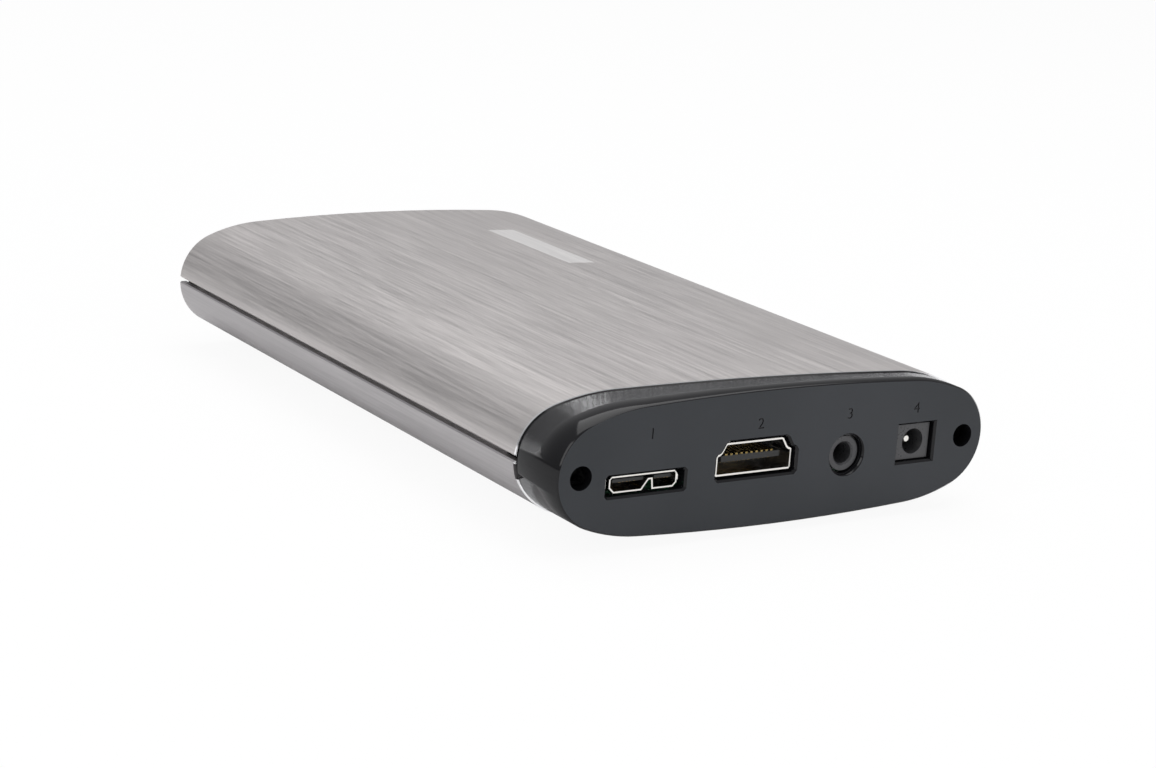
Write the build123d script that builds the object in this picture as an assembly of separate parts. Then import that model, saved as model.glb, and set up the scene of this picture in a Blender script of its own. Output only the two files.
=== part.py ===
from build123d import *
import math
import os

# A pocket media player: an aluminium sleeve of two shells, and a tray that carries the
# sockets, the main board and a 2.5 inch hard drive and slides out behind its port cap.
# X runs across, Y from the port face to the far end, Z up. The origin is on the table,
# under the middle. Heights below are measured from the screw axis, depths from the port face.

# ---- hard drive, which sets the length and the width of the housing ------------------
drive_length = 100.2
drive_width = 69.85
drive_height = 9.5
drive_bottom = -3.8
drive_start = 31.8        # depth of its connector end
drive_travel = 5.0
drive_fit = 0.3

# ---- housing -------------------------------------------------------------------------
end_space = 9.5           # from the drive to the far edge of the shells
side_space = 7.975        # from the drive to the side of the shells
length = drive_start + drive_length + end_space
width = drive_width + 2 * side_space
height = 23.6             # crown to crown
side_radius = 9.4         # the three radii of the outline, from the side to the crown
shoulder_radius = 31.6
crown_radius = 455.0
wall = 1.3                # thickness of the shells
seam_rise = 0.1           # middle of the seam above the screw axis
seam_gap = 0.8
seam_bevel = 0.25
edge_left = 12.2          # depth of the slanted front edge of the shells: left, middle, right
edge_middle = 6.0
edge_right = 5.0
pry_slot = (0.5, 2.6)     # notch in the front edge of the lower shell, under the seam: depth, height

# ---- port cap ------------------------------------------------------------------------
cap_step = 0.25           # the cap stays this far inside the outline of the shells
edge_gap = 0.3            # joint between the cap and the shells
face_thickness = 2.2
rim_bevel = 0.3
spigot_depth = 16.5
spigot_wall = 1.5
slide_fit = 0.3           # play of everything that slides in the sleeve

# ---- screws --------------------------------------------------------------------------
screw_inset = 4.6         # from the side of the shells to a screw of the cap
screw_spread = width - 2 * screw_inset
head_hole_radius = 2.0
head_hole_depth = 8.0
head_radius = 1.75
head_height = 1.3
small_head_height = 0.8
shank_radius = 1.0
shank_fit = 0.1
cap_screw_length = 15.0
small_screw_length = 3.0
tray_screw_length = 2.0
screw_post_radius = 3.0
screw_sides = 10          # small screws and their holes are drawn with so many flat sides
post_sides = 12           # and the hidden posts and channels around them
foot_sides = 20
channel_radius = 1.9      # screw channel in the lower shell

# ---- inside of the lower shell -------------------------------------------------------
lip_thickness = 1.0       # lip that rises behind the seam
lip_reach = 2.3
rail_space = 1.375        # from the side wall of the tray to the two rails of each side
rail_thickness = 1.0
joint_fit = 0.05          # play between fixed pieces that fit in each other

# ---- tray ----------------------------------------------------------------------------
deck_thickness = 1.5
tray_wall = 0.9
tray_wall_top = 1.5
tray_flange = 2.8
hook_reach = 4.2          # hooks over the front corners of the drive
hook_thickness = 0.8
window_columns, window_rows = 2, 2

# ---- boards --------------------------------------------------------------------------
board_top = -3.4
board_thickness = 1.6
board_inset = 0.125       # the board is this much narrower than the drive at each side
board_width = drive_width - 2 * board_inset
board_start = 2.6
ledge_width = 4.2
ledge_thickness = 1.5
board_screw_x = board_width / 2 - 1.8
board_screw_depths = (20.0, 28.6)
tray_screw_x = board_width / 2 - 4.3
tray_screw_depth = 13.0
signal_board = (30.0, 12.0, 0.9)          # width, length, thickness
signal_standoff = 1.0                     # gap between it and the deck
ribbon_x, ribbon_width = -8.5, 6.0

# ---- sockets -------------------------------------------------------------------------
mouth_depth = 1.0         # the sockets stop this far behind the port face
cutout_margin = 0.4
cutout_bevel = 0.35
usb_x, usb_width, usb_height, usb_length = -25.95, 12.8, 2.75, 7.0
hdmi_x, hdmi_width, hdmi_height, hdmi_length = -4.62, 15.0, 5.45, 11.0
hdmi_bottom = -2.64
shell_sheet = 0.3
av_x, av_rise, av_collar_radius, av_bore_radius = 13.64, -1.1, 2.95, 1.8
av_body = (7.4, 11.5, 5.4)                # width, length, height
dc_x, dc_bore_radius, dc_pin_radius = 28.25, 2.2, 0.85
dc_body = (6.8, 11.0, 6.1)                # width, length, height

# ---- far end -------------------------------------------------------------------------
end_recess = 1.0
end_thickness = 2.0
end_rim_depth = 2.0
end_rim_wall = 1.3
signal_window = (24.0, 3.6, -8.0)         # width, height, rise of its middle

# ---- feet ----------------------------------------------------------------------------
foot_proud = 1.0
foot_radius = 4.0
foot_x = 24.0
foot_from_end = 20.0
foot_pocket = 1.1         # top of the foot above the lowest line of the shell

face_y = -length / 2
axis_z = foot_proud + height / 2
tray_fit_x = drive_width / 2 + drive_fit
board_bottom = board_top - board_thickness
deck_top = drive_bottom - slide_fit
deck_bottom = deck_top - deck_thickness
inner_start = spigot_depth + slide_fit
end_plate_inner = length - end_recess - end_thickness
inner_end = end_plate_inner - end_rim_depth
drive_end = drive_start + drive_length
tray_back = end_plate_inner - slide_fit
board_end = drive_start - slide_fit * 2

nodes = {}


# ---- helpers -------------------------------------------------------------------------
def block(x, depth, rise):
    """Box between two x, two depths behind the port face and two heights about the axis."""
    size = [b - a for a, b in (x, depth, rise)]
    mid = [(a + b) / 2 for a, b in (x, depth, rise)]
    return Pos(mid[0], face_y + mid[1], axis_z + mid[2]) * Box(*size)


def bar(radius, size, sides=0):
    """Upright round bar, or one with that many flat sides, about its middle."""
    if not sides:
        return Cylinder(radius, size)
    return Pos(0, 0, -size / 2) * extrude(RegularPolygon(radius, sides), amount=size)


def rod(x, rise, start, end, radius, sides=0):
    """Round bar along the depth."""
    mid = face_y + (start + end) / 2
    return Pos(x, mid, axis_z + rise) * Rot(90, 0, 0) * bar(radius, end - start, sides)


def post(x, depth, low, high, radius, sides=0):
    """Upright round bar."""
    return Pos(x, face_y + depth, axis_z + (low + high) / 2) * bar(radius, high - low, sides)


def prism(sketch, start, end):
    """Cross section drawn across the housing, run from one depth to the other."""
    plane = Plane(origin=(0, face_y + end, axis_z), x_dir=(1, 0, 0), z_dir=(0, -1, 0))
    return extrude(plane * sketch, amount=end - start)


def strip(x, rise):
    """Rectangle of a cross section."""
    mid = (x[0] + x[1]) / 2, (rise[0] + rise[1]) / 2
    return Pos(*mid) * Rectangle(x[1] - x[0], rise[1] - rise[0])


def bevelled(shape, size):
    """The shape with its upright edges bevelled."""
    return chamfer(shape.edges().filter_by(Axis.Z), size)


def both_sides(shape):
    """The shape and its mirror image across the middle."""
    return [shape, mirror(shape, about=Plane.YZ)]


def outline(inset=0.0):
    """Outline of the housing drawn in by inset: side, shoulder and crown arcs, tangent."""
    half, top = width / 2 - inset, height / 2 - inset
    r_side, r_shoulder, r_crown = (r - inset for r in (side_radius, shoulder_radius, crown_radius))
    side, crown = Vector(half - r_side, 0), Vector(0, top - r_crown)
    to_side = side - crown
    far, near = r_crown - r_shoulder, r_shoulder - r_side
    along = (to_side.length**2 + far**2 - near**2) / (2 * to_side.length)
    across = math.sqrt(far**2 - along**2)
    unit = to_side.normalized()
    shoulder = crown + unit * along + Vector(-unit.Y, unit.X) * across
    low = side + (side - shoulder).normalized() * r_side
    high = crown + (shoulder - crown).normalized() * r_crown
    middle = shoulder + ((low + high) * 0.5 - shoulder).normalized() * r_shoulder
    side_end = Vector(half, 0)
    side_middle = side + ((low + side_end) * 0.5 - side).normalized() * r_side
    quarter = [
        ThreePointArc(side_end, side_middle, low),
        ThreePointArc(low, middle, high),
    ]
    quarter += [mirror(arc, about=Plane.YZ) for arc in quarter]
    quarter.append(ThreePointArc(high, Vector(0, top), Vector(-high.X, high.Y)))
    return make_face(quarter + [mirror(arc, about=Plane.XZ) for arc in quarter])


def ring(outer_inset, inner_inset):
    return outline(outer_inset) - outline(inner_inset)


def sleeve_room(gap=0.0):
    """Room behind the slanted front edge of the shells, gap further forward."""
    reach = width
    bow = ThreePointArc((-width / 2, face_y + edge_left - gap), (0, face_y + edge_middle - gap),
                        (width / 2, face_y + edge_right - gap))
    left, right = (-reach, (bow @ 0).Y), (reach, (bow @ 1).Y)
    back = face_y + length + 1
    rest = Polyline(bow @ 1, right, (reach, back), (-reach, back), left, bow @ 0)
    return extrude(make_face([bow, rest]), amount=axis_z + height)


def small_screw(x, depth, seat, size=small_screw_length):
    """Upright screw whose head rests on seat."""
    head = post(x, depth, seat, seat + small_head_height, head_radius, screw_sides)
    return head + post(x, depth, seat - size, seat, shank_radius - joint_fit, screw_sides)


def group(*shapes):
    """Separate solids that share one node."""
    solids = []
    for shape in shapes:
        solids += shape.solids()
    return Compound(children=solids)


# ---- shells --------------------------------------------------------------------------
def shell_skin(low, high):
    """Skin of the housing between two heights, cut to the slanted front edge."""
    skin = ring(0, wall) & strip((-width, width), (low, high))
    return prism(skin, 0, length) & sleeve_room()


def bevel_seam(shell, rise):
    """Break the long outer edges along the seam."""
    z = axis_z + rise
    edges = [e for e in shell.edges() if abs(e.center().Z - z) < 0.01
             and abs(e.center().X) > width / 2 - wall / 2 and e.length > length / 2]
    return chamfer(edges, seam_bevel) if edges else shell


def make_upper_shell():
    low = seam_rise + seam_gap / 2
    return bevel_seam(shell_skin(low, height), low)


def lower_shell_inside():
    """Lip behind the seam, screw channel and the two rails of the right side."""
    top = seam_rise - seam_gap / 2
    inner = wall + joint_fit + lip_thickness
    x = (width / 4, width)
    lip = ring(wall + joint_fit, inner) & strip(x, (-lip_reach - rail_thickness, lip_reach))
    lip += ring(wall / 2, inner) & strip(x, (-lip_reach - rail_thickness, top - joint_fit))
    screw_x = screw_spread / 2
    channel = Pos(screw_x, 0) * RegularPolygon(channel_radius, post_sides)
    channel += strip((screw_x, width / 2 - wall - joint_fit - lip_thickness / 2), (-0.8, 0.8))
    rail_top = deck_bottom - slide_fit
    rail_reach = tray_fit_x + tray_wall + rail_space
    rails = strip((rail_reach, width / 2), (rail_top - rail_thickness, rail_top))
    guide = deck_top + slide_fit
    rails += strip((rail_reach, width / 2), (guide, guide + rail_thickness))
    section = lip + channel + (rails & outline(wall / 2))
    section -= Pos(screw_x, 0) * RegularPolygon(shank_radius + shank_fit, screw_sides)
    return section - strip((screw_x - channel_radius - 1, screw_x), (-0.35, 0.35))


def make_lower_shell():
    top = seam_rise - seam_gap / 2
    shell = bevel_seam(shell_skin(-height, top), top)
    for side in both_sides(prism(lower_shell_inside(), inner_start, inner_end)):
        shell += side
    slot_depth, slot_height = pry_slot
    shell -= block((-width / 2 - 1, -width / 2 + wall + 1), (0, edge_left + slot_depth),
                   (top - 0.4 - slot_height, top - 0.4))
    for foot in feet(joint_fit):
        shell -= foot
    return shell


def feet(grow=0.0):
    places = [(sx * foot_x, d) for sx in (-1, 1) for d in (foot_from_end, length - foot_from_end)]
    low = -height / 2 - foot_proud
    return [post(x, d, low - grow, low + foot_proud + foot_pocket, foot_radius + grow, foot_sides)
            for x, d in places]


def make_rubber_feet():
    return group(*[chamfer(f.faces().sort_by(Axis.Z)[0].edges(), 0.4) for f in feet()])


# ---- far end -------------------------------------------------------------------------
def end_screw_seat(x, grow=0.0):
    """Countersunk head of a far end screw."""
    start = length - end_recess
    wide = Plane(origin=(x, face_y + start, axis_z), x_dir=(1, 0, 0), z_dir=(0, -1, 0))
    narrow = wide.offset(head_height)
    head = RegularPolygon(head_radius + grow, 2 * screw_sides)
    neck = RegularPolygon(shank_radius + grow, 2 * screw_sides)
    return loft([wide * head, narrow * neck])


def window_shape(wide, high):
    """Rectangle with bevelled corners."""
    return chamfer(Rectangle(wide, high).vertices(), 0.7)


def make_end_cap():
    outer = outline(wall + joint_fit)
    cap = prism(outer, end_plate_inner, length - end_recess)
    cap += prism(ring(wall + joint_fit, wall + joint_fit + end_rim_wall), inner_end, end_plate_inner)
    for sx in (-1, 1):
        x = sx * screw_spread / 2
        cap += rod(x, 0, inner_end, end_plate_inner, channel_radius, post_sides)
        cap -= rod(x, 0, inner_end - 1, length, shank_radius + shank_fit, screw_sides)
        cap -= end_screw_seat(x, joint_fit)
    w, h, rise = signal_window
    cap -= prism(Pos(0, rise) * window_shape(w, h), end_plate_inner - 1, length)
    cap -= prism(Pos(0, rise) * Rectangle(w + 2, h + 0.4), end_plate_inner - 1,
                 end_plate_inner + end_thickness / 2)
    return cap


def make_signal_window():
    w, h, rise = signal_window
    fit = 2 * joint_fit
    pane = prism(Pos(0, rise) * window_shape(w - fit, h - fit), end_plate_inner, length - end_recess)
    flange = Pos(0, rise) * Rectangle(w + 2 - fit, h + 0.4 - fit)
    return pane + prism(flange, end_plate_inner, end_plate_inner + end_thickness / 2 - joint_fit)


def make_end_screws():
    screws = []
    for sx in (-1, 1):
        x = sx * screw_spread / 2
        start = length - end_recess - head_height
        shank = rod(x, 0, start - cap_screw_length / 2, start, shank_radius, screw_sides)
        screws.append(end_screw_seat(x) + shank)
    return group(*screws)


def make_hold_down_pad():
    """Foam under the upper shell that keeps the far end of the drive down."""
    low = drive_bottom + drive_height + slide_fit
    section = outline(wall + joint_fit) & strip((-14, 14), (low, height))
    return prism(section, drive_end - 16, drive_end - 4)


# ---- port cap ------------------------------------------------------------------------
def hdmi_section(inset=0.0):
    """Outline of the HDMI socket, wide side down."""
    half, top = hdmi_width / 2, hdmi_height
    side = [(half, 0), (half, 0.63 * top), (half - 0.85, 0.69 * top), (half - 1.85, top)]
    points = side + [(-x, z) for x, z in reversed(side)]
    shape = make_face(Polyline(*points, close=True))
    shape = chamfer(shape.vertices(), 0.2)
    if inset:
        shape = offset(shape, -inset, kind=Kind.INTERSECTION)
    return Pos(hdmi_x, hdmi_bottom) * shape


def usb_section(inset=0.0):
    """Outline of the micro socket: flat top, two bays and the notch between them."""
    half, top = usb_width / 2, usb_height
    i = inset
    notch = usb_width * 0.6 - half
    points = [
        (-half + i, 0.9 + i * 0.4), (-half + 0.9 + i * 0.4, i), (notch - 1.5 - i * 0.6, i),
        (notch - 0.25 - i * 0.4, 0.6 * top + i), (notch + 0.25 + i, 0.6 * top + i), (notch + 0.45 + i, i),
        (half - 0.7 - i * 0.4, i), (half - i, 0.7 + i * 0.4),
        (half - i, top - 0.5), (half - 0.5, top - i), (-half + 0.5, top - i), (-half + i, top - 0.5),
    ]
    return Pos(usb_x, board_top) * make_face(Polyline(*points, close=True))


def cutouts():
    """Openings of the port face, as sections, with what each bevel adds."""
    hdmi = offset(hdmi_section(), cutout_margin, kind=Kind.INTERSECTION)
    usb_mid = board_top + usb_height / 2
    usb_size = usb_width + 5 * cutout_margin, usb_height + 1.5 * cutout_margin
    usb = Pos(usb_x, usb_mid) * chamfer(Rectangle(*usb_size).vertices(), 0.3)
    av = Pos(av_x, av_rise) * Circle(av_collar_radius + cutout_margin)
    w, _, h = dc_body
    dc = Pos(dc_x, board_top + h / 2) * Rectangle(w + 2 * cutout_margin, h + cutout_margin)
    return [hdmi, usb, av, dc]


def make_port_cap():
    cap = prism(outline(cap_step), 0, edge_left) - sleeve_room(edge_gap)
    cap = chamfer(cap.faces().sort_by(Axis.Y)[0].edges(), rim_bevel)
    spigot = wall + slide_fit
    cap += prism(outline(spigot), face_thickness / 2, spigot_depth)
    cap -= prism(outline(spigot + spigot_wall), face_thickness, spigot_depth + 1)
    screw_x = screw_spread / 2
    for sx in (-1, 1):
        x = sx * screw_x
        screw_post = rod(x, 0, face_thickness / 2, spigot_depth, screw_post_radius, post_sides)
        cap += screw_post & prism(outline(spigot), 0, length)
        cap -= rod(x, 0, -1, head_hole_depth, head_hole_radius)
        cap -= rod(x, 0, 0, length, shank_radius + shank_fit, screw_sides)
        tray_x = sx * tray_screw_x
        seat = board_bottom - ledge_thickness
        boss = post(tray_x, tray_screw_depth, -height / 2 + wall + 1, seat, screw_post_radius - 0.6,
                    post_sides)
        cap += boss & prism(outline(spigot), 0, length)
        cap -= post(tray_x, tray_screw_depth, seat - tray_screw_length, seat, shank_radius, screw_sides)
    for section in cutouts():
        cap -= prism(section, -1, face_thickness + 1)
        mouth = Plane(origin=(0, face_y + cutout_bevel, axis_z), x_dir=(1, 0, 0), z_dir=(0, -1, 0))
        cap -= extrude(mouth * section, amount=cutout_bevel + 0.01, taper=-45)
    w, _, h = av_body
    room = joint_fit * 4
    cap -= block((av_x - w / 2 - room, av_x + w / 2 + room), (face_thickness - 0.8, face_thickness + 1),
                 (board_top, board_top + h + room))
    return cap


def make_cap_screw(sx):
    x = sx * screw_spread / 2
    head = rod(x, 0, head_hole_depth - head_height, head_hole_depth, head_radius, 2 * screw_sides)
    shank_end = head_hole_depth + cap_screw_length
    return head + rod(x, 0, head_hole_depth, shank_end, shank_radius, screw_sides)


# ---- drive tray ----------------------------------------------------------------------
def deck_windows():
    """Openings that lighten the deck under the drive."""
    rim, rib = 7.0, 5.0
    span_x = 2 * tray_fit_x - 2 * rim - rib * (window_columns - 1)
    span_y = drive_length - 2 * rim - 8 - rib * (window_rows - 1)
    size = span_x / window_columns, span_y / window_rows
    places = GridLocations(size[0] + rib, size[1] + rib, window_columns, window_rows)
    middle = drive_start + drive_length / 2
    window = chamfer(Rectangle(*size).vertices(), 2.5)
    sketch = Sketch() + places * window
    plane = Plane((0, face_y + middle, axis_z + deck_bottom - 1))
    return extrude(plane * sketch, amount=deck_thickness + 2)


def make_drive_tray():
    back = tray_back
    wall_x = (tray_fit_x, tray_fit_x + tray_wall)
    tray = block((-wall_x[1], wall_x[1]), (drive_start - slide_fit, back), (deck_bottom, deck_top))
    stop = drive_end + drive_travel + drive_fit
    tray += block((-wall_x[1], wall_x[1]), (stop, back), (deck_bottom, tray_wall_top - 1))
    tray -= deck_windows()
    ledge = (board_bottom - ledge_thickness, board_bottom)
    side = block(wall_x, (inner_start, back), (deck_bottom, tray_wall_top))
    side += block((wall_x[0], wall_x[1] + tray_flange), (inner_start, inner_end - slide_fit),
                  (deck_bottom, deck_top))
    side += block((tray_fit_x - ledge_width, wall_x[1]), (inner_start, drive_start + 1), ledge)
    lug = screw_post_radius
    side += block((tray_screw_x - lug, tray_screw_x + lug), (tray_screw_depth - lug, inner_start + 2), ledge)
    hook_low = drive_bottom + drive_height + slide_fit
    hook_depth = (drive_start - 1.0, drive_start + hook_reach)
    side += block(wall_x, hook_depth, (deck_bottom, hook_low + hook_thickness))
    side += block((wall_x[0] - 1.5, wall_x[1]), hook_depth, (hook_low, hook_low + hook_thickness))
    for depth in board_screw_depths:
        side -= post(board_screw_x, depth, ledge[0] - 1, ledge[1] + 1, shank_radius, screw_sides)
    side -= post(tray_screw_x, tray_screw_depth, ledge[0] - 1, ledge[1] + 1, shank_radius, screw_sides)
    side -= post(tray_screw_x, tray_screw_depth, tray_screw_seat(), ledge[1] + 1, head_radius + 0.2,
                 screw_sides)
    vents = [drive_start + 14 + 12 * i for i in range(7)]
    for depth in vents:
        side -= block((wall_x[0] - 1, wall_x[1] + 1), (depth, depth + 6),
                      (deck_top + 1.6, tray_wall_top - 1))
    for half in both_sides(side):
        tray += half
    for x, depth in signal_screw_places():
        tray += post(x, depth, deck_bottom - signal_standoff, deck_bottom + 0.5, 2.2, post_sides)
        tray -= post(x, depth, deck_bottom - 2, deck_top + 1, shank_radius, screw_sides)
    return tray


def tray_screw_seat():
    return board_bottom - small_head_height - 0.2


def make_tray_screws():
    return group(*[small_screw(sx * tray_screw_x, tray_screw_depth, tray_screw_seat(), tray_screw_length)
                   for sx in (-1, 1)])


# ---- main board ----------------------------------------------------------------------
def make_main_board():
    board = block((-board_width / 2, board_width / 2), (board_start, board_end), (board_bottom, board_top))
    board = bevelled(board, 1.0)
    for sx in (-1, 1):
        for depth in board_screw_depths:
            board -= post(sx * board_screw_x, depth, board_bottom - 1, board_top + 1, shank_radius + 0.1,
                          screw_sides)
    return board


def make_board_screws():
    return group(*[small_screw(sx * board_screw_x, d, board_top)
                   for sx in (-1, 1) for d in board_screw_depths])


def on_board(x, depth, size, base=board_top):
    """Block of a component: centre x, centre depth, (width, length, height)."""
    w, l, h = size
    low, high = (base, base + h) if h > 0 else (base + h, base)
    return block((x - w / 2, x + w / 2), (depth - l / 2, depth + l / 2), (low, high))


def leaded(x, depth, size, pitch, count, base=board_top):
    """Chip whose leads come out of its two long sides."""
    w, l, h = size
    chip = on_board(x, depth, (w, l, h - 0.15), base + 0.15)
    for i in range(count):
        lead_x = x + (i - (count - 1) / 2) * pitch
        chip += on_board(lead_x, depth, (pitch * 0.5, l + 1.8, 0.3), base)
    return chip


def make_flash_chip():
    return leaded(-20.5, 16.2, (12.0, 8.0, 1.1), 2.0, 6)


def make_bridge_chip():
    return on_board(15.5, 19.6, (7.0, 7.0, 0.9))


def make_memory_chips():
    return group(*[on_board(x, 20.5, (9.0, 9.0, -1.1), board_bottom) for x in (-22.0, 22.0)])


def make_media_processor():
    return on_board(0, 16.5, (19.0, 19.0, -1.6), board_bottom)


def make_heat_sink():
    """Finned plate on the processor, fins down."""
    seat = board_bottom - 1.6
    sink = on_board(0, 16.5, (20.0, 20.0, -0.7), seat)
    fins, pitch = 7, 3.0
    for i in range(fins):
        sink += on_board((i - (fins - 1) / 2) * pitch, 16.5, (1.0, 20.0, -1.6), seat)
    return sink


def make_capacitors():
    """Two upright cans and two flat ones."""
    places = [(30.0, 17.6, 2.0, 5.4), (25.2, 17.0, 2.0, 5.4)]
    cans = [post(x, d, board_top, board_top + h, r, foot_sides) for x, d, r, h in places]
    flat = [on_board(x, 15.8, (3.5, 2.8, 1.9)) for x in (-7.5, -2.8)]
    return group(*cans, *flat)


def make_inductors():
    places = ((-31.0, 13.6), (3.4, 16.6))
    return group(*[bevelled(on_board(x, d, (5.0, 5.0, 2.4)), 0.8) for x, d in places])


def make_crystals():
    places = ((9.0, 19.8), (-28.8, 19.8))
    return group(*[bevelled(on_board(x, d, (3.2, 5.0, 1.0)), 0.5) for x, d in places])


# ---- sockets -------------------------------------------------------------------------
def make_hdmi_shell():
    end = mouth_depth + hdmi_length
    shell = prism(hdmi_section() - hdmi_section(shell_sheet), mouth_depth, end)
    for sx in (-1, 1):
        x = hdmi_x + sx * (hdmi_width / 2 - shell_sheet / 2)
        for depth in (mouth_depth + 3.0, end - 2.0):
            shell += block((x - shell_sheet / 2, x + shell_sheet / 2), (depth - 0.6, depth + 0.6),
                           (board_top, hdmi_bottom + 1))
    return shell


def make_hdmi_insert():
    end = mouth_depth + hdmi_length
    insert = prism(hdmi_section(shell_sheet), end - 4.5, end)
    mid = hdmi_bottom + hdmi_height * 0.46
    insert += block((hdmi_x - 5.8, hdmi_x + 5.8), (mouth_depth + 1.0, end - 4), (mid - 0.5, mid + 0.5))
    return insert + block((hdmi_x - 6.5, hdmi_x + 6.5), (end, end + 0.9), (board_top, hdmi_bottom + 4))


def make_hdmi_contacts():
    mid = hdmi_bottom + hdmi_height * 0.46
    rows = [(10, mid + 0.5, 0.15), (9, mid - 0.65, 0.15)]
    parts = []
    for count, low, thick in rows:
        for i in range(count):
            x = hdmi_x + (i - (count - 1) / 2) * 1.0
            parts.append(block((x - 0.22, x + 0.22), (mouth_depth + 1.4, mouth_depth + hdmi_length - 4.5),
                               (low, low + thick)))
    return group(*parts)


def make_usb_shell():
    end = mouth_depth + usb_length
    shell = prism(usb_section() - usb_section(shell_sheet * 0.8), mouth_depth, end)
    x = usb_x + usb_width / 2
    mid = board_top + usb_height * 0.55
    tab = block((x - 0.1, x + 0.35), (mouth_depth + 0.2, mouth_depth + 1.6), (mid - 0.45, mid + 0.45))
    return shell + tab


def make_usb_insert():
    end = mouth_depth + usb_length
    sheet = shell_sheet * 0.8
    insert = prism(usb_section(sheet), end - 2.0, end)
    high = board_top + usb_height - sheet - 0.45
    for x0, x1 in ((-5.4, 0.4), (2.4, 5.6)):
        insert += block((usb_x + x0, usb_x + x1), (mouth_depth + 0.6, end - 1.5), (high - 0.55, high))
    return insert


def make_usb_contacts():
    high = board_top + usb_height - shell_sheet * 0.8 - 1.0
    parts = []
    for first, pitch in ((-3.9, 0.7), (2.8, 0.6)):
        for i in range(5):
            x = usb_x + first + i * pitch
            parts.append(block((x - 0.15, x + 0.15), (mouth_depth + 0.9, mouth_depth + usb_length - 2.0),
                               (high - 0.12, high)))
    return group(*parts)


def make_av_jack_body():
    w, l, h = av_body
    front = face_thickness - 0.6
    body = block((av_x - w / 2, av_x + w / 2), (front, front + l), (board_top, board_top + h))
    body += rod(av_x, av_rise, mouth_depth, front + 1, av_collar_radius)
    body -= rod(av_x, av_rise, 0, front + l - 2.2, av_bore_radius)
    body -= rod(av_x, av_rise, front + l - 2.3, front + l - 1.2, av_bore_radius + 0.3)
    lead_in = Cone(av_bore_radius + 0.3, av_bore_radius, 0.3)
    body -= Pos(av_x, face_y + mouth_depth + 0.15, axis_z + av_rise) * Rot(-90, 0, 0) * lead_in
    for low, high in ((3.6, 4.8), (6.4, 7.6)):
        body -= block((av_x + av_bore_radius - 0.6, av_x + w / 2 + 1), (front + low, front + high),
                      (av_rise - 0.7, av_rise + 0.7))
    return body


def make_av_jack_springs():
    w = av_body[0]
    front = face_thickness - 0.6
    parts = []
    for low, high in ((3.75, 4.65), (6.55, 7.45)):
        parts.append(block((av_x + av_bore_radius + joint_fit, av_x + w / 2 + 0.15),
                           (front + low, front + high), (av_rise - 0.7, av_rise + 0.4)))
    return group(*parts)


def make_dc_jack_body():
    w, l, h = dc_body
    mid = board_top + h / 2
    body = block((dc_x - w / 2, dc_x + w / 2), (mouth_depth, mouth_depth + l), (board_top, board_top + h))
    body -= rod(dc_x, mid, 0, mouth_depth + l - 1.6, dc_bore_radius)
    return body - block((dc_x - 1.0, dc_x + 1.0), (mouth_depth + 4, mouth_depth + l + 1),
                        (board_top - 1, mid - dc_bore_radius + 0.5))


def make_dc_jack_pin():
    _, l, h = dc_body
    start, end = mouth_depth + 1.6, mouth_depth + l - 1.6
    pin = rod(dc_x, board_top + h / 2, start, end, dc_pin_radius)
    return chamfer(pin.faces().sort_by(Axis.Y)[0].edges(), dc_pin_radius * 0.4)


def make_dc_jack_spring():
    """Leaf that presses on the sleeve of the plug from below."""
    depth = (mouth_depth + 4.4, mouth_depth + dc_body[1])
    return block((dc_x - 0.8, dc_x + 0.8), depth, (board_top, board_top + 0.4))


tongue_thickness = 1.2
sata_tongues = ((-16.6, -6.4), (-3.8, 16.8))     # left and right of the two contact tongues


def sata_rise():
    return drive_bottom + 2.9


def make_sata_receptacle():
    """Socket on the board that takes the tongues of the drive."""
    nose_low, nose_high = drive_bottom + 0.9, drive_bottom + 5.0
    body = block((-21.0, 21.0), (board_end - 6.4, board_end), (board_top, nose_high + 0.8))
    body += block((-19.0, 19.0), (board_end - 1, drive_start + 4.4), (nose_low, nose_high))
    for x0, x1 in sata_tongues:
        slot_x = (x0 - drive_fit, x1 + drive_fit)
        reach = tongue_thickness / 2 + drive_fit
        slot_z = (sata_rise() - reach, sata_rise() + reach)
        body -= block(slot_x, (drive_start + 0.2, drive_start + 5), slot_z)
    return body


def make_sata_contacts():
    """Contact springs in the two slots, under the tongues."""
    parts = []
    low = sata_rise() - tongue_thickness / 2 - drive_fit
    for (x0, x1), count in zip(sata_tongues, (7, 15)):
        for i in range(count):
            x = (x0 + x1) / 2 + (i - (count - 1) / 2) * 1.27
            parts.append(block((x - 0.25, x + 0.25), (drive_start + 0.2, drive_start + 4.0),
                               (low, low + 0.1)))
    return group(*parts)


# ---- signal board at the far end -----------------------------------------------------
def make_signal_board():
    w, l, t = signal_board
    top = deck_bottom - signal_standoff
    board = block((-w / 2, w / 2), (tray_back - l, tray_back - slide_fit), (top - t, top))
    for x, depth in signal_screw_places():
        board -= post(x, depth, top - t - 1, top + 1, shank_radius + shank_fit, screw_sides)
    return board


def signal_screw_places():
    w, l, _ = signal_board
    return [(sx * (w / 2 - 3), tray_back - l / 2) for sx in (-1, 1)]


def signal_underside():
    return deck_bottom - signal_standoff - signal_board[2]


def make_signal_board_screws():
    seat = signal_underside()
    parts = []
    for x, depth in signal_screw_places():
        head = post(x, depth, seat - small_head_height, seat, head_radius, screw_sides)
        high = deck_bottom + deck_thickness * 0.8
        parts.append(head + post(x, depth, seat, high, shank_radius - joint_fit, screw_sides))
    return group(*parts)


def make_ir_receiver():
    base = signal_underside()
    x, high = 5.0, 1.4
    body = on_board(x, tray_back - 2.6, (5.2, 4.0, -high), base)
    return body + rod(x, base - high / 2, tray_back - 1, tray_back - 0.4, 0.65)


def make_status_led():
    return on_board(-5.0, tray_back - 1.4, (2.0, 1.2, -1.0), signal_underside())


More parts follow.
